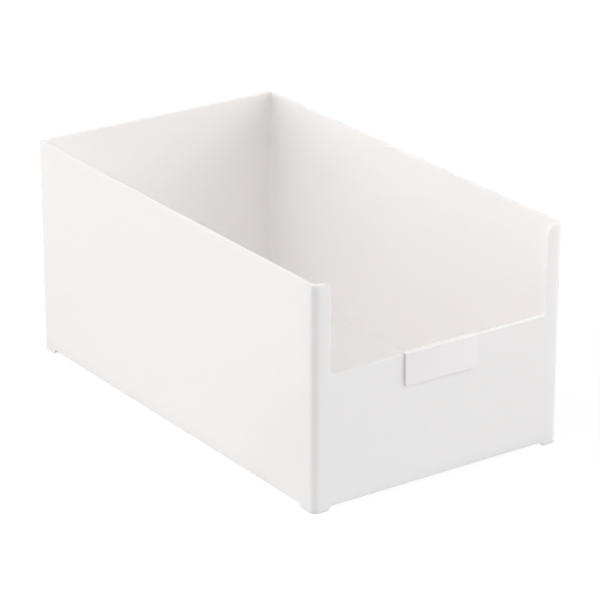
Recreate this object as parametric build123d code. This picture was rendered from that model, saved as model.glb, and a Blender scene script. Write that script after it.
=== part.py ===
"""Open-fronted drawer organizer tray with a label clip that slides along its low front wall.

Millimetres. +X runs across the width, +Y towards the back, +Z up. The origin is on the
standing surface, under the middle of the tub's footprint.
"""

from build123d import *
import os

# Tub, outside
WIDTH = 170.0
DEPTH = 289.0
HEIGHT = 133.5
CORNER_RADIUS = 4.2
WALL = 2.5

# Tub, floor and the skirt below it
FLOOR_THICKNESS = 2.5
SKIRT_DEPTH = 2.0
FLOOR_FILLET = 1.5
GATE_RADIUS = 5.0
GATE_DEPTH = 0.5
GATE_NUB_RADIUS = 0.9
GATE_NUB_HEIGHT = 0.3

# Feet, left standing between slots under the walls
FOOT_HEIGHT = 2.5
FOOT_FRONT_LENGTH = 10.0
FOOT_SIDE_LENGTH = 12.5
FOOT_SLANT = 1.8

# Low front wall between two posts
LIP_HEIGHT = 80.5
POST_WIDTH = 11.0
POST_TOP_RADIUS = 5.0
LIP_CORNER_RADIUS = 2.0
RIM_ROUND = 0.4

# Label clip
CLIP_WIDTH = 49.0
PLATE_THICKNESS = 1.2
PLATE_HEIGHT = 19.3
BRIDGE_THICKNESS = 0.4
LEG_THICKNESS = 0.5
LEG_REACH = 12.0
LEG_LEAD_IN = 0.25
FRONT_BEND_RADIUS = 0.45
BACK_BEND_RADIUS = 0.4
PLATE_CORNER_RADIUS = 0.8
CLIP_EDGE_ROUND = 0.3
CLIP_CLEARANCE = 0.1

# Places that follow from the sizes above
FRONT_FACE = -DEPTH / 2
LIP_INNER_FACE = FRONT_FACE + WALL
INNER_RADIUS = CORNER_RADIUS - WALL
FLOOR_UNDERSIDE = FOOT_HEIGHT + SKIRT_DEPTH
FLOOR_TOP = FLOOR_UNDERSIDE + FLOOR_THICKNESS
OPENING_HALF_WIDTH = WIDTH / 2 - POST_WIDTH
SLOT_TOP = LIP_HEIGHT + CLIP_CLEARANCE
CLIP_TOP = SLOT_TOP + BRIDGE_THICKNESS
PLATE_BACK = FRONT_FACE - CLIP_CLEARANCE
PLATE_FRONT = PLATE_BACK - PLATE_THICKNESS
PLATE_BOTTOM = CLIP_TOP - PLATE_HEIGHT
LEG_FRONT = LIP_INNER_FACE + CLIP_CLEARANCE
LEG_BACK = LEG_FRONT + LEG_THICKNESS
LEG_BOTTOM = LIP_HEIGHT - LEG_REACH

# Working values: how far a cutting block runs past a face, and how close counts as touching
OVERCUT = 5.0
TOUCH = 1e-4


def rounded_block(width, depth, radius, low, high):
    """A block with rounded upright edges, centred on the origin in plan."""
    plan = RectangleRounded(width, depth, radius)
    return Pos(0, 0, low) * extrude(plan, high - low)


def storage_space():
    """The hollow above the floor, with its floor edge rounded."""
    space = rounded_block(
        WIDTH - 2 * WALL, DEPTH - 2 * WALL, INNER_RADIUS, FLOOR_TOP, HEIGHT + OVERCUT
    )
    floor_edges = space.faces().sort_by(Axis.Z)[0].edges()
    return fillet(floor_edges, FLOOR_FILLET)


def underside_recess():
    """The shallow hollow under the floor, inside the skirt and the feet."""
    return rounded_block(
        WIDTH - 2 * WALL, DEPTH - 2 * WALL, INNER_RADIUS, -OVERCUT, FLOOR_UNDERSIDE
    )


def foot_slot(half_length, plane, through):
    """A slot with slanted ends that parts two feet, cut right through two facing walls."""
    outline = Polygon(
        (-half_length, 0),
        (half_length, 0),
        (half_length - FOOT_SLANT, FOOT_HEIGHT),
        (-half_length + FOOT_SLANT, FOOT_HEIGHT),
        align=None,
    )
    below = Pos(0, -OVERCUT / 2) * Rectangle(2 * half_length, OVERCUT)
    return extrude(plane * (outline + below), through / 2 + OVERCUT, both=True)


def front_opening():
    """The block that is cut away above the low front wall."""
    height = HEIGHT + OVERCUT - LIP_HEIGHT
    block = Box(2 * OPENING_HALF_WIDTH, WALL + 2 * INNER_RADIUS, height)
    return Pos(0, FRONT_FACE + WALL / 2, LIP_HEIGHT + height / 2) * block


def opening_corners(solid, level):
    """The two edges across the front wall's thickness where a post meets the given level."""
    across = solid.edges().filter_by(Axis.Y)
    return [
        edge
        for edge in across
        if abs(edge.center().Z - level) < TOUCH
        and abs(abs(edge.center().X) - OPENING_HALF_WIDTH) < TOUCH
        and edge.center().Y < LIP_INNER_FACE
    ]


def is_rim_face(face):
    """Whether a face is part of the narrow band that runs round the tub's open edge."""
    box = face.bounding_box()
    on_top = box.min.Z > HEIGHT - TOUCH
    at_front = box.min.Y > FRONT_FACE - TOUCH and box.max.Y < LIP_INNER_FACE + TOUCH
    crosses_wall = abs(box.max.Y - box.min.Y - WALL) < TOUCH
    between_posts = max(abs(box.min.X), abs(box.max.X)) < (
        OPENING_HALF_WIDTH + POST_TOP_RADIUS + TOUCH
    )
    above_lip = box.min.Z > LIP_HEIGHT - TOUCH
    return on_top or (at_front and crosses_wall and between_posts and above_lip)


def rim_edges(solid):
    """The two edge loops of the rim, left out where one rim face meets the next."""
    edges = []
    for face in filter(is_rim_face, solid.faces()):
        edges.extend(face.edges())
    return [edge for edge in edges if sum(edge.is_same(other) for other in edges) == 1]


def gate_mark():
    """The shallow dish under the middle of the floor where the moulding was filled."""
    dish = Pos(0, 0, FLOOR_UNDERSIDE + GATE_DEPTH / 2) * Cylinder(GATE_RADIUS, GATE_DEPTH)
    nub_middle = FLOOR_UNDERSIDE + GATE_DEPTH - GATE_NUB_HEIGHT / 2
    nub = Pos(0, 0, nub_middle) * Cylinder(GATE_NUB_RADIUS, GATE_NUB_HEIGHT)
    return dish - nub


def storage_tub():
    """The one-piece moulding: floor, four walls, two posts, skirt and four feet."""
    tub = rounded_block(WIDTH, DEPTH, CORNER_RADIUS, 0, HEIGHT)
    tub -= storage_space()
    tub -= underside_recess()
    tub -= gate_mark()
    tub -= foot_slot(WIDTH / 2 - FOOT_FRONT_LENGTH, Plane.XZ, DEPTH)
    tub -= foot_slot(DEPTH / 2 - FOOT_SIDE_LENGTH, Plane.YZ, WIDTH)
    tub -= front_opening()
    tub = fillet(opening_corners(tub, LIP_HEIGHT), LIP_CORNER_RADIUS)
    tub = fillet(opening_corners(tub, HEIGHT), POST_TOP_RADIUS)
    return fillet(rim_edges(tub), RIM_ROUND)


def rounded_corner(outline, y, z, radius):
    """The outline with its corner nearest to the given place rounded."""
    corner = outline.vertices().sort_by_distance((y, z, 0))[0]
    return fillet(corner, radius)


def clip_section():
    """The clip's outline across the lip: plate in front, bridge over it, leg behind."""
    outline = Polygon(
        (PLATE_FRONT, PLATE_BOTTOM),
        (PLATE_BACK, PLATE_BOTTOM),
        (PLATE_BACK, SLOT_TOP),
        (LEG_FRONT, SLOT_TOP),
        (LEG_FRONT, LEG_BOTTOM + LEG_LEAD_IN),
        (LEG_FRONT + LEG_LEAD_IN, LEG_BOTTOM),
        (LEG_BACK, LEG_BOTTOM),
        (LEG_BACK, CLIP_TOP),
        (PLATE_FRONT, CLIP_TOP),
        align=None,
    )
    outline = rounded_corner(outline, PLATE_FRONT, CLIP_TOP, FRONT_BEND_RADIUS)
    return rounded_corner(outline, LEG_BACK, CLIP_TOP, BACK_BEND_RADIUS)


def below_the_bend(edge):
    """Whether an edge of the plate's face lies at its sides or bottom, not at the bend."""
    return edge.center().Z < CLIP_TOP - FRONT_BEND_RADIUS - TOUCH


def label_clip():
    """The plate, bridge and leg in one moulding that straddles the low front wall."""
    clip = extrude(Plane.YZ * clip_section(), CLIP_WIDTH / 2, both=True)
    plate_corners = clip.edges().filter_by(Axis.Y).group_by(Axis.Z)[0]
    clip = fillet(plate_corners, PLATE_CORNER_RADIUS)
    plate_edges = clip.faces().sort_by(Axis.Y)[0].edges()
    return fillet(plate_edges.filter_by(below_the_bend), CLIP_EDGE_ROUND)


def main():
    """Writes each piece to its own file and prints the sizes that describe the fit."""
    os.makedirs("parts", exist_ok=True)
    export_step(storage_tub(), "parts/storage_tub.step")
    export_step(label_clip(), "parts/label_clip.step")
    travel = OPENING_HALF_WIDTH - LIP_CORNER_RADIUS - CLIP_WIDTH / 2
    print(f"clip travel each way along the straight lip: {travel:.1f} mm")


main()
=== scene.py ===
"""The looks of a white moulded drawer organizer tray with a sliding label clip.

Metres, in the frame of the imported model: +X across the width, +Y towards the back, +Z up, with
the origin on the standing surface under the middle of the tub.
"""

import logging
import math
from dataclasses import dataclass
from enum import Enum
from typing import Callable

import bmesh
import bpy
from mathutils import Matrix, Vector


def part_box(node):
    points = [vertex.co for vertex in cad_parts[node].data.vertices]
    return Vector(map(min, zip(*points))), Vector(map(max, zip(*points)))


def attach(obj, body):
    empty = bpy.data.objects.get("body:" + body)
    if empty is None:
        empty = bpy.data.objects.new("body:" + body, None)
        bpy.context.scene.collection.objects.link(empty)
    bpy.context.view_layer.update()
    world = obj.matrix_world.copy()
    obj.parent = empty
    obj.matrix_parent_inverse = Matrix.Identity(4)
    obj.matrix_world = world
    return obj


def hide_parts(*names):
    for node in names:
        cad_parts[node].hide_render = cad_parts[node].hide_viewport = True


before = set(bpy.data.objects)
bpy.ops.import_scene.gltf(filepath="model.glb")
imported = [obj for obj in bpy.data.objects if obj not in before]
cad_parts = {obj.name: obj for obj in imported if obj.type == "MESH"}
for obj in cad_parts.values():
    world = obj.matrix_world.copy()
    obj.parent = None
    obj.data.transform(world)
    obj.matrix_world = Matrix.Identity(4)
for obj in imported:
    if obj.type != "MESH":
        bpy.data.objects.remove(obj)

log = logging.getLogger("tray")
Colour = tuple[float, float, float]
PartTest = Callable[..., bool]

MM = 0.001
NEAR = 0.02 * MM
MERGE_DISTANCE = 0.002 * MM
SHARP = math.radians(32)
ALONG = 0.9
CIRCULAR = 0.5
WHITE = (1.0, 1.0, 1.0, 1.0)
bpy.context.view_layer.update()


class Kind(Enum):
    """Which parts of a mesh are picked."""

    FACE = "FACE"
    EDGE = "EDGE"


class Spread(Enum):
    """How large a surface pattern is, as its noise scale per metre of the piece."""

    FINE_GRAIN = 2600.0
    SOFT_CLOUD = 14.0


def near(value: float, target: float) -> bool:
    """Tells whether two lengths are the same within a fiftieth of a millimetre."""
    return abs(value - target) < NEAR


def faces_up(face: bmesh.types.BMFace) -> bool:
    """Tells whether a face points upwards."""
    return face.normal.z > ALONG


def faces_down(face: bmesh.types.BMFace) -> bool:
    """Tells whether a face points downwards."""
    return face.normal.z < -ALONG


def faces_back(face: bmesh.types.BMFace) -> bool:
    """Tells whether a face points towards the back."""
    return face.normal.y > ALONG


class Workpiece:
    """One mesh on the bench, whose faces and edges are picked by their place."""

    def __init__(self, piece: bpy.types.Object) -> None:
        """Takes an object that an operator has just added.

        Args:
            piece: The new mesh object, active and selected.
        """
        self.piece = piece
        bpy.ops.object.transform_apply(location=True, rotation=True, scale=True)

    @classmethod
    def block(cls, name: str, low: Vector, high: Vector) -> "Workpiece":
        """Adds a block between two corners.

        Args:
            name: The piece's name.
            low: Its lowest corner.
            high: Its highest corner.

        Returns:
            The block, with its place in its mesh.
        """
        bpy.ops.object.select_all(action="DESELECT")
        bpy.ops.mesh.primitive_cube_add(size=1, location=(low + high) / 2, scale=high - low)
        bpy.context.active_object.name = name
        return cls(bpy.context.active_object)

    @classmethod
    def disc(cls, name: str, radius: float, low: float, high: float, sides: int) -> "Workpiece":
        """Adds an upright cylinder over the origin.

        Args:
            name: The piece's name.
            radius: Its radius.
            low: The height of its lower face.
            high: The height of its upper face.
            sides: How many sides it has.

        Returns:
            The cylinder, with its place in its mesh.
        """
        bpy.ops.object.select_all(action="DESELECT")
        bpy.ops.mesh.primitive_cylinder_add(
            vertices=sides, radius=radius, depth=high - low, location=(0, 0, (low + high) / 2)
        )
        bpy.context.active_object.name = name
        return cls(bpy.context.active_object)

    def activate(self) -> None:
        """Selects this piece alone."""
        bpy.ops.object.select_all(action="DESELECT")
        self.piece.select_set(True)
        bpy.context.view_layer.objects.active = self.piece

    def pick(self, kind: Kind, test: PartTest) -> None:
        """Opens the mesh and selects what passes a test.

        Args:
            kind: Whether faces or edges are picked.
            test: Called with each face or edge, and true for what is to be selected.
        """
        self.activate()
        bpy.ops.object.mode_set(mode="EDIT")
        bpy.ops.mesh.select_mode(type=kind.value)
        bpy.ops.mesh.select_all(action="DESELECT")
        mesh = bmesh.from_edit_mesh(self.piece.data)
        mesh.normal_update()
        parts = mesh.faces if kind is Kind.FACE else mesh.edges
        found = [part for part in parts if test(part)]
        for part in found:
            part.select_set(True)
        bmesh.update_edit_mesh(self.piece.data)
        if not found:
            raise ValueError(f"nothing to pick on {self.piece.name}")

    def close(self) -> None:
        """Leaves edit mode."""
        bpy.ops.object.mode_set(mode="OBJECT")

    def round_edges(self, test: PartTest, radius: float, steps: int) -> None:
        """Rounds the edges that pass a test.

        Args:
            test: Called with each edge.
            radius: The rounding's radius.
            steps: How many faces the rounding has.
        """
        self.pick(Kind.EDGE, test)
        bpy.ops.mesh.bevel(offset=radius, segments=steps, profile=CIRCULAR, affect="EDGES")
        self.close()

    def push_face(self, test: PartTest, push: Vector, margin: float = 0.0) -> None:
        """Extrudes the faces that pass a test, as for a bend, a pocket or a boss.

        Args:
            test: Called with each face.
            push: How far and which way they move.
            margin: The width of the border that stays behind, if any.
        """
        self.pick(Kind.FACE, test)
        if margin:
            bpy.ops.mesh.inset(thickness=margin, use_even_offset=True)
        bpy.ops.mesh.extrude_region_move(TRANSFORM_OT_translate={"value": push})
        self.close()

    def slice_level(self, height: float) -> None:
        """Divides the whole mesh at a height and keeps both sides.

        Args:
            height: The height of the cut.
        """
        self.pick(Kind.FACE, lambda face: True)
        bpy.ops.mesh.bisect(plane_co=(0, 0, height), plane_no=(0, 0, 1))
        self.close()

    def cut_away(self, cutter: "Workpiece") -> None:
        """Cuts another mesh out of this one and removes it.

        Args:
            cutter: The mesh to cut with.
        """
        self.activate()
        modifier = self.piece.modifiers.new("cut", "BOOLEAN")
        modifier.operation = "DIFFERENCE"
        modifier.solver = "EXACT"
        modifier.object = cutter.piece
        bpy.ops.object.modifier_apply(modifier=modifier.name)
        mesh = cutter.piece.data
        bpy.data.objects.remove(cutter.piece)
        bpy.data.meshes.remove(mesh)

    def finish(self, edge_radius: float, steps: int) -> bpy.types.Object:
        """Softens every sharp edge and shades the rounded parts smoothly.

        Args:
            edge_radius: The radius of the softened edges.
            steps: How many faces each softened edge has.

        Returns:
            The finished object.
        """
        self.activate()
        bpy.ops.object.mode_set(mode="EDIT")
        bpy.ops.mesh.select_all(action="SELECT")
        bpy.ops.mesh.remove_doubles(threshold=MERGE_DISTANCE)
        bpy.ops.mesh.normals_make_consistent(inside=False)
        bpy.ops.object.mode_set(mode="OBJECT")
        bpy.ops.object.shade_smooth_by_angle(angle=SHARP)
        modifier = self.piece.modifiers.new("soft_edges", "BEVEL")
        modifier.width = edge_radius
        modifier.segments = steps
        modifier.limit_method = "ANGLE"
        modifier.angle_limit = SHARP
        modifier.harden_normals = True
        bpy.ops.object.modifier_apply(modifier=modifier.name)
        return self.piece


@dataclass(frozen=True)
class MouldedPlastic:
    """The satin white finish of a moulded piece, with a fine spark grain."""

    name: str
    colour: Colour
    cloud_colour: Colour
    translucency: float = 0.0
    light_depth: float = 3.0 * MM
    light_spread: Colour = (1.0, 0.97, 0.93)
    roughness: float = 0.40
    roughness_swing: float = 0.05
    cloud_detail: float = 3.0
    grain_detail: float = 2.0
    grain_strength: float = 0.06
    grain_depth: float = 0.02 * MM

    def make(self) -> bpy.types.Material:
        """Builds the node material.

        Returns:
            The new material.
        """
        material = bpy.data.materials.new(self.name)
        material.use_nodes = True
        nodes, links = material.node_tree.nodes, material.node_tree.links
        shader = nodes["Principled BSDF"]
        shader.inputs["Subsurface Weight"].default_value = self.translucency
        shader.inputs["Subsurface Radius"].default_value = self.light_spread
        shader.inputs["Subsurface Scale"].default_value = self.light_depth
        cloud = self.noise(nodes, links, Spread.SOFT_CLOUD, self.cloud_detail)
        grain = self.noise(nodes, links, Spread.FINE_GRAIN, self.grain_detail)
        mix = nodes.new("ShaderNodeMix")
        mix.data_type = "RGBA"
        mix.inputs["A"].default_value = (*self.colour, 1)
        mix.inputs["B"].default_value = (*self.cloud_colour, 1)
        links.new(cloud, mix.inputs["Factor"])
        links.new(mix.outputs["Result"], shader.inputs["Base Color"])
        sheen = nodes.new("ShaderNodeMapRange")
        sheen.inputs["To Min"].default_value = self.roughness - self.roughness_swing
        sheen.inputs["To Max"].default_value = self.roughness + self.roughness_swing
        links.new(cloud, sheen.inputs["Value"])
        links.new(sheen.outputs["Result"], shader.inputs["Roughness"])
        bump = nodes.new("ShaderNodeBump")
        bump.inputs["Strength"].default_value = self.grain_strength
        bump.inputs["Distance"].default_value = self.grain_depth
        links.new(grain, bump.inputs["Height"])
        links.new(bump.outputs["Normal"], shader.inputs["Normal"])
        return material

    def noise(
        self,
        nodes: bpy.types.Nodes,
        links: bpy.types.NodeLinks,
        spread: Spread,
        detail: float,
    ) -> bpy.types.NodeSocket:
        """Adds one noise pattern in the piece's own coordinates.

        Args:
            nodes: The material's nodes.
            links: The material's links.
            spread: The pattern's size.
            detail: How many finer layers it has.

        Returns:
            The pattern's value, from 0 to 1.
        """
        place = nodes.new("ShaderNodeTexCoord").outputs["Object"]
        noise = nodes.new("ShaderNodeTexNoise")
        noise.inputs["Scale"].default_value = spread.value
        noise.inputs["Detail"].default_value = detail
        links.new(place, noise.inputs["Vector"])
        return noise.outputs["Fac"]


@dataclass(kw_only=True)
class Moulding:
    """One moulded piece that stands for a node of the frame."""

    node: str
    body: str
    slot: str
    finish: MouldedPlastic

    def dress(self, piece: bpy.types.Object) -> None:
        """Gives the modelled piece its finish and ties it to the frame.

        Args:
            piece: The modelled piece.
        """
        piece.data.materials.clear()
        piece.data.materials.append(self.finish.make())
        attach(piece, self.body)
        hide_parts(self.node)
        log.info("%s: %d faces", piece.name, len(piece.data.polygons))


@dataclass(kw_only=True)
class StorageTub(Moulding):
    """The one-piece moulding: floor, walls, posts, skirt and feet."""

    node: str = "storage_tub"
    body: str = "tub"
    slot: str = "tub_plastic"
    finish: MouldedPlastic = MouldedPlastic(
        "tub_satin_white", (0.965, 0.938, 0.922), (0.958, 0.931, 0.915), translucency=1.0
    )
    corner_radius: float = 4.2 * MM
    corner_steps: int = 12
    wall: float = 2.5 * MM
    floor_thickness: float = 2.5 * MM
    skirt_depth: float = 2.0 * MM
    floor_round: float = 1.5 * MM
    floor_round_steps: int = 6
    foot_height: float = 2.5 * MM
    foot_front_length: float = 10.0 * MM
    foot_side_length: float = 12.5 * MM
    foot_slant: float = 1.8 * MM
    lip_height: float = 80.5 * MM
    post_width: float = 11.0 * MM
    post_top_radius: float = 5.0 * MM
    post_top_steps: int = 12
    lip_corner_radius: float = 2.0 * MM
    lip_corner_steps: int = 8
    gate_radius: float = 5.0 * MM
    gate_depth: float = 0.5 * MM
    gate_nub_radius: float = 0.9 * MM
    gate_nub_height: float = 0.3 * MM
    gate_sides: int = 48
    edge_radius: float = 0.4 * MM
    edge_steps: int = 3
    overcut: float = 5.0 * MM
    overcut_inside: float = 1.4 * MM

    def __post_init__(self) -> None:
        """Reads the overall box from the frame and works out the levels."""
        self.low, self.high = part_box(self.node)
        self.floor_underside = self.low.z + self.foot_height + self.skirt_depth
        self.floor_top = self.floor_underside + self.floor_thickness
        self.opening_half = self.high.x - self.post_width

    def build(self) -> bpy.types.Object:
        """Models the tub from a block.

        Returns:
            The finished mesh object.
        """
        tub = Workpiece.block("storage_tub_moulding", self.low, self.high)
        tub.round_edges(self.is_upright, self.corner_radius, self.corner_steps)
        self.hollow_out(tub)
        tub.cut_away(self.gate_cutter())
        tub.cut_away(self.foot_slot_cutter(0))
        tub.cut_away(self.foot_slot_cutter(1))
        self.open_front(tub)
        return tub.finish(self.edge_radius, self.edge_steps)

    def is_upright(self, edge: bmesh.types.BMEdge) -> bool:
        """Tells whether an edge runs the block's whole height."""
        ends = [vert.co for vert in edge.verts]
        return near(abs(ends[0].z - ends[1].z), self.high.z - self.low.z)

    def hollow_out(self, tub: Workpiece) -> None:
        """Sinks the storage space and the shallow recess under the floor.

        Args:
            tub: The rounded block.
        """
        tub.push_face(
            lambda face: near(face.calc_center_median().z, self.high.z) and faces_up(face),
            Vector((0, 0, self.floor_top - self.high.z)),
            self.wall,
        )
        tub.round_edges(
            lambda edge: all(near(vert.co.z, self.floor_top) for vert in edge.verts),
            self.floor_round,
            self.floor_round_steps,
        )
        tub.push_face(
            lambda face: near(face.calc_center_median().z, self.low.z) and faces_down(face),
            Vector((0, 0, self.floor_underside - self.low.z)),
            self.wall,
        )

    def gate_cutter(self) -> Workpiece:
        """Makes the dish under the floor's middle, with its small nub left out.

        Returns:
            The mesh to cut away.
        """
        top = self.floor_underside + self.gate_depth
        dish = Workpiece.disc("gate_dish", self.gate_radius, self.low.z, top, self.gate_sides)
        dish.push_face(
            faces_up,
            Vector((0, 0, -self.gate_nub_height)),
            self.gate_radius - self.gate_nub_radius,
        )
        return dish

    def foot_slot_cutter(self, axis: int) -> Workpiece:
        """Makes the slot with slanted ends that parts the feet under two facing walls.

        The cutter reaches as far below the standing surface as the slot goes up, so that its
        slanted ends meet that surface where the feet end.

        Args:
            axis: The axis that the slot is long in, 0 for the front and back walls.

        Returns:
            The mesh to cut away.
        """
        foot = self.foot_side_length if axis else self.foot_front_length
        half = self.high[axis] - foot
        low, high = self.low.copy(), self.high.copy()
        low[axis], high[axis] = -half - self.foot_slant, half + self.foot_slant
        low[1 - axis] -= self.overcut
        high[1 - axis] += self.overcut
        low.z, high.z = self.low.z - self.foot_height, self.low.z + self.foot_height
        slot = Workpiece.block(f"foot_slot_{axis}", low, high)
        narrowing = Vector((1, 1, 1))
        narrowing[axis] = (half - self.foot_slant) / (half + self.foot_slant)
        slot.pick(Kind.FACE, faces_up)
        bpy.ops.transform.resize(value=narrowing, center_override=(0, 0, high.z))
        slot.close()
        return slot

    def open_front(self, tub: Workpiece) -> None:
        """Cuts the opening above the low front wall and rounds its four corners.

        Args:
            tub: The hollow tub.
        """
        low = Vector((-self.opening_half, self.low.y - self.overcut, self.lip_height))
        high = Vector((
            self.opening_half,
            self.low.y + self.wall + self.overcut_inside,
            self.high.z + self.overcut,
        ))
        tub.cut_away(Workpiece.block("front_opening", low, high))
        tub.round_edges(
            lambda edge: self.is_opening_corner(edge, self.lip_height),
            self.lip_corner_radius,
            self.lip_corner_steps,
        )
        tub.round_edges(
            lambda edge: self.is_opening_corner(edge, self.high.z),
            self.post_top_radius,
            self.post_top_steps,
        )

    def is_opening_corner(self, edge: bmesh.types.BMEdge, level: float) -> bool:
        """Tells whether an edge crosses the front wall at a post and a given level.

        Args:
            edge: The edge to test.
            level: The height that it has to lie at.

        Returns:
            True for the edge of a corner of the front opening.
        """
        crosses = near(edge.verts[0].co.x, edge.verts[1].co.x)
        return crosses and all(
            near(abs(vert.co.x), self.opening_half)
            and near(vert.co.z, level)
            and vert.co.y < self.low.y + self.wall + NEAR
            for vert in edge.verts
        )


@dataclass(kw_only=True)
class LabelClip(Moulding):
    """The plate, bridge and leg that straddle the lip, in one thin moulding."""

    tub: StorageTub
    node: str = "label_clip"
    body: str = "clip"
    slot: str = "clip_plastic"
    # The clip's colour is lighter than the tub's as painted light: it stands in for the light
    # that reaches the real clip through the wall behind it. Its cooler tint is its own.
    finish: MouldedPlastic = MouldedPlastic(
        "clip_white_with_painted_light", (0.978, 0.955, 0.962), (0.971, 0.948, 0.955)
    )
    plate_thickness: float = 1.2 * MM
    bridge_thickness: float = 0.4 * MM
    leg_thickness: float = 0.5 * MM
    leg_reach: float = 12.0 * MM
    lead_in: float = 0.2 * MM
    lead_in_steps: int = 1
    face_round: float = 0.25 * MM
    face_round_steps: int = 4
    back_bend: float = 0.35 * MM
    back_bend_steps: int = 6
    plate_corner: float = 0.8 * MM
    plate_corner_steps: int = 6
    edge_radius: float = 0.12 * MM
    edge_steps: int = 2

    def __post_init__(self) -> None:
        """Reads the overall box from the frame and works out the faces."""
        self.low, self.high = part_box(self.node)
        self.plate_back = self.low.y + self.plate_thickness
        self.leg_front = self.high.y - self.leg_thickness
        self.slot_top = self.high.z - self.bridge_thickness
        self.leg_bottom = self.tub.lip_height - self.leg_reach

    def build(self) -> bpy.types.Object:
        """Models the clip from its plate.

        Returns:
            The finished mesh object.
        """
        plate_high = Vector((self.high.x, self.plate_back, self.high.z))
        clip = Workpiece.block("label_clip_moulding", self.low, plate_high)
        clip.slice_level(self.slot_top)
        self.bend_over_the_lip(clip)
        self.round_the_outline(clip)
        return clip.finish(self.edge_radius, self.edge_steps)

    def bend_over_the_lip(self, clip: Workpiece) -> None:
        """Pushes the bridge back over the lip and the leg down behind it.

        Args:
            clip: The plate, sliced at the height of the slot's top.
        """
        for reach in (self.leg_front - self.plate_back, self.leg_thickness):
            clip.push_face(
                lambda face: faces_back(face) and face.calc_center_median().z > self.slot_top,
                Vector((0, reach, 0)),
            )
        clip.push_face(
            lambda face: faces_down(face)
            and face.calc_center_median().y > self.leg_front
            and near(face.calc_center_median().z, self.slot_top),
            Vector((0, 0, self.leg_bottom - self.slot_top)),
        )

    def round_the_outline(self, clip: Workpiece) -> None:
        """Rounds the plate's corners and face, the bend behind the lip and the leg's tip.

        Args:
            clip: The clip with square edges.
        """
        clip.round_edges(
            lambda edge: all(near(vert.co.z, self.low.z) for vert in edge.verts)
            and near(edge.verts[0].co.x, edge.verts[1].co.x),
            self.plate_corner,
            self.plate_corner_steps,
        )
        clip.round_edges(
            lambda edge: all(near(vert.co.y, self.low.y) for vert in edge.verts)
            and edge.calc_face_angle() > SHARP,
            self.face_round,
            self.face_round_steps,
        )
        clip.round_edges(
            lambda edge: self.runs_along(edge, self.high.y, self.high.z),
            self.back_bend,
            self.back_bend_steps,
        )
        clip.round_edges(
            lambda edge: self.runs_along(edge, self.leg_front, self.leg_bottom),
            self.lead_in,
            self.lead_in_steps,
        )

    def runs_along(self, edge: bmesh.types.BMEdge, y: float, z: float) -> bool:
        """Tells whether an edge runs along the clip's width at a given place.

        Args:
            edge: The edge to test.
            y: Where it has to lie from front to back.
            z: The height that it has to lie at.

        Returns:
            True for that edge.
        """
        along = not near(edge.verts[0].co.x, edge.verts[1].co.x)
        return along and all(near(vert.co.y, y) and near(vert.co.z, z) for vert in edge.verts)


@dataclass(frozen=True)
class SoftLight:
    """A wide soft light far away: its bearing and height in degrees, strength and spread."""

    bearing: float
    height: float
    strength: float
    tightness: float
    tint: Colour

    def direction(self) -> Vector:
        """Works out the way to the light, whose bearing runs from the front towards the left.

        Returns:
            The direction, one unit long.
        """
        bearing, height = math.radians(self.bearing), math.radians(self.height)
        level = math.cos(height)
        return Vector((
            -math.sin(bearing) * level,
            -math.cos(bearing) * level,
            math.sin(height),
        ))


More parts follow.
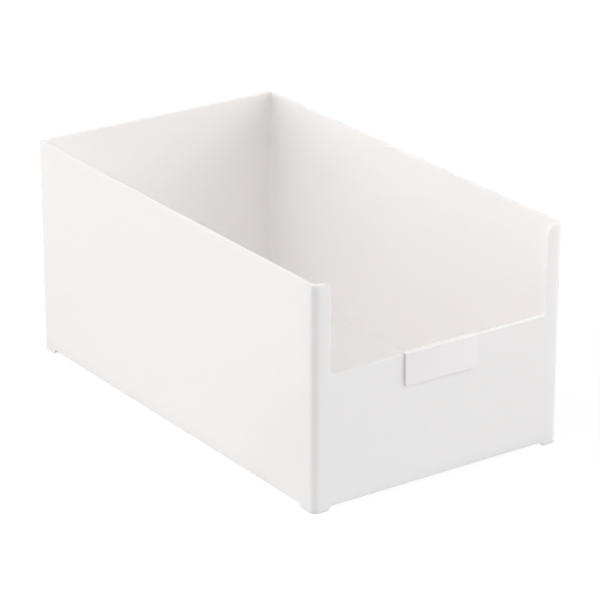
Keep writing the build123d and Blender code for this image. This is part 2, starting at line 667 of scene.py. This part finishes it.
@dataclass(frozen=True)
class Studio:
    """A plain pale floor under five wide soft lights, in front of a white backdrop."""

    lights: tuple[SoftLight, ...] = (
        SoftLight(144, 6, 3.72, 8, (1.04, 0.995, 0.965)),
        SoftLight(-61, 19, 3.16, 8, (1.0, 0.995, 1.0)),
        SoftLight(101, 51, 2.10, 8, (1.03, 0.995, 0.97)),
        SoftLight(-5, 30, 0.86, 4, (1.0, 1.0, 1.005)),
        SoftLight(0, 90, 0.41, 8, (1.0, 1.0, 0.99)),
    )
    floor_colour: Colour = (0.85, 0.85, 0.85)
    floor_glow: float = 0.54
    floor_glow_share: float = 0.5
    floor_white: float = 1.06
    floor_white_share: float = 0.85
    floor_half_size: float = 4.0

    def make(self) -> None:
        """Sets the world light and lays the floor."""
        self.light_world()
        self.lay_floor()

    def light_world(self) -> None:
        """Builds the world light, with a plain white backdrop for what the camera sees."""
        world = bpy.data.worlds.new("studio_light")
        world.use_nodes = True
        bpy.context.scene.world = world
        nodes, links = world.node_tree.nodes, world.node_tree.links
        nodes.clear()
        direction = nodes.new("ShaderNodeTexCoord").outputs["Generated"]
        light_sum = None
        for light in self.lights:
            lamp = nodes.new("ShaderNodeBackground")
            lamp.inputs["Color"].default_value = (*light.tint, 1)
            links.new(self.glow(nodes, links, direction, light), lamp.inputs["Strength"])
            light_sum = self.add_light(nodes, links, light_sum, lamp.outputs["Background"])
        backdrop = nodes.new("ShaderNodeBackground")
        backdrop.inputs["Color"].default_value = WHITE
        choice = nodes.new("ShaderNodeMixShader")
        links.new(self.seen_directly(nodes, links), choice.inputs["Fac"])
        links.new(light_sum, choice.inputs[1])
        links.new(backdrop.outputs["Background"], choice.inputs[2])
        output = nodes.new("ShaderNodeOutputWorld")
        links.new(choice.outputs["Shader"], output.inputs["Surface"])

    def add_light(
        self,
        nodes: bpy.types.Nodes,
        links: bpy.types.NodeLinks,
        light_sum: bpy.types.NodeSocket | None,
        lamp: bpy.types.NodeSocket,
    ) -> bpy.types.NodeSocket:
        """Adds one lamp to those that are already summed.

        Args:
            nodes: The world's nodes.
            links: The world's links.
            light_sum: The sum so far, or None before the first lamp.
            lamp: The lamp to add.

        Returns:
            The new sum.
        """
        if light_sum is None:
            return lamp
        both = nodes.new("ShaderNodeAddShader")
        links.new(light_sum, both.inputs[0])
        links.new(lamp, both.inputs[1])
        return both.outputs["Shader"]

    def seen_directly(
        self, nodes: bpy.types.Nodes, links: bpy.types.NodeLinks
    ) -> bpy.types.NodeSocket:
        """Tells the rays that look at the backdrop from those that bring its light.

        Args:
            nodes: The nodes of the world or of the floor's material.
            links: The links among them.

        Returns:
            1 for the camera's own rays and for reflections and light through glass.
        """
        path = nodes.new("ShaderNodeLightPath")
        seen = path.outputs["Is Camera Ray"]
        for kind in ("Is Glossy Ray", "Is Transmission Ray"):
            either = nodes.new("ShaderNodeMath")
            either.operation = "MAXIMUM"
            links.new(seen, either.inputs[0])
            links.new(path.outputs[kind], either.inputs[1])
            seen = either.outputs["Value"]
        return seen

    def glow(
        self,
        nodes: bpy.types.Nodes,
        links: bpy.types.NodeLinks,
        direction: bpy.types.NodeSocket,
        light: SoftLight,
    ) -> bpy.types.NodeSocket:
        """Works out how bright one soft light is in a direction of the world.

        Args:
            nodes: The world's nodes.
            links: The world's links.
            direction: The direction that the light comes from.
            light: The soft light.

        Returns:
            Its strength, which falls off smoothly from its middle.
        """
        ahead = nodes.new("ShaderNodeVectorMath")
        ahead.operation = "DOT_PRODUCT"
        ahead.inputs[1].default_value = light.direction()
        links.new(direction, ahead.inputs[0])
        value = ahead.outputs["Value"]
        for operation, amount in (
            ("MAXIMUM", 0.0),
            ("POWER", light.tightness),
            ("MULTIPLY", light.strength),
        ):
            step = nodes.new("ShaderNodeMath")
            step.operation = operation
            step.inputs[1].default_value = amount
            links.new(value, step.inputs[0])
            value = step.outputs["Value"]
        return value

    def lay_floor(self) -> None:
        """Lays the pale floor, which keeps the object's shadow."""
        bpy.ops.object.select_all(action="DESELECT")
        bpy.ops.mesh.primitive_plane_add(size=2 * self.floor_half_size)
        floor = bpy.context.active_object
        floor.name = "floor"
        floor.data.materials.append(self.floor_material())

    def floor_material(self) -> bpy.types.Material:
        """Builds the floor's finish: pale, faintly lit from below, and white where it is seen.

        Returns:
            The new material.
        """
        material = bpy.data.materials.new("pale_floor")
        material.use_nodes = True
        nodes, links = material.node_tree.nodes, material.node_tree.links
        nodes.clear()
        matt = nodes.new("ShaderNodeBsdfDiffuse")
        matt.inputs["Color"].default_value = (*self.floor_colour, 1)
        mixes = []
        for strength, share in (
            (self.floor_glow, self.floor_glow_share),
            (self.floor_white, self.floor_white_share),
        ):
            glow = nodes.new("ShaderNodeEmission")
            glow.inputs["Strength"].default_value = strength
            mix = nodes.new("ShaderNodeMixShader")
            mix.inputs["Fac"].default_value = share
            links.new(matt.outputs["BSDF"], mix.inputs[1])
            links.new(glow.outputs["Emission"], mix.inputs[2])
            mixes.append(mix)
        choice = nodes.new("ShaderNodeMixShader")
        links.new(self.seen_directly(nodes, links), choice.inputs["Fac"])
        links.new(mixes[0].outputs["Shader"], choice.inputs[1])
        links.new(mixes[1].outputs["Shader"], choice.inputs[2])
        output = nodes.new("ShaderNodeOutputMaterial")
        links.new(choice.outputs["Shader"], output.inputs["Surface"])
        return material


@dataclass(frozen=True)
class Viewpoint:
    """The camera at the photograph's viewing angle, with its lens and sensor in millimetres."""

    place: tuple[float, float, float] = (-0.9592, -1.3923, 0.7375)
    turn: float = math.radians(34.74)
    tilt: float = math.radians(21.864)
    lens: float = 186.47
    sensor: float = 36.0
    nearest: float = 0.05
    farthest: float = 50.0

    def make(self) -> None:
        """Adds the camera and makes it the scene's own."""
        data = bpy.data.cameras.new("camera")
        data.lens = self.lens
        data.sensor_width = self.sensor
        data.clip_start = self.nearest
        data.clip_end = self.farthest
        camera = bpy.data.objects.new("camera", data)
        bpy.context.scene.collection.objects.link(camera)
        camera.location = self.place
        camera.rotation_euler = (math.pi / 2 - self.tilt, 0, -self.turn)
        bpy.context.scene.camera = camera


def main() -> None:
    """Builds the tray, its studio and the camera."""
    logging.basicConfig(level=logging.INFO, format="%(message)s")
    bpy.context.scene.view_settings.view_transform = "Standard"
    Viewpoint().make()
    Studio().make()
    tub = StorageTub()
    tub.dress(tub.build())
    clip = LabelClip(tub=tub)
    clip.dress(clip.build())


if __name__ == "__main__":
    main()
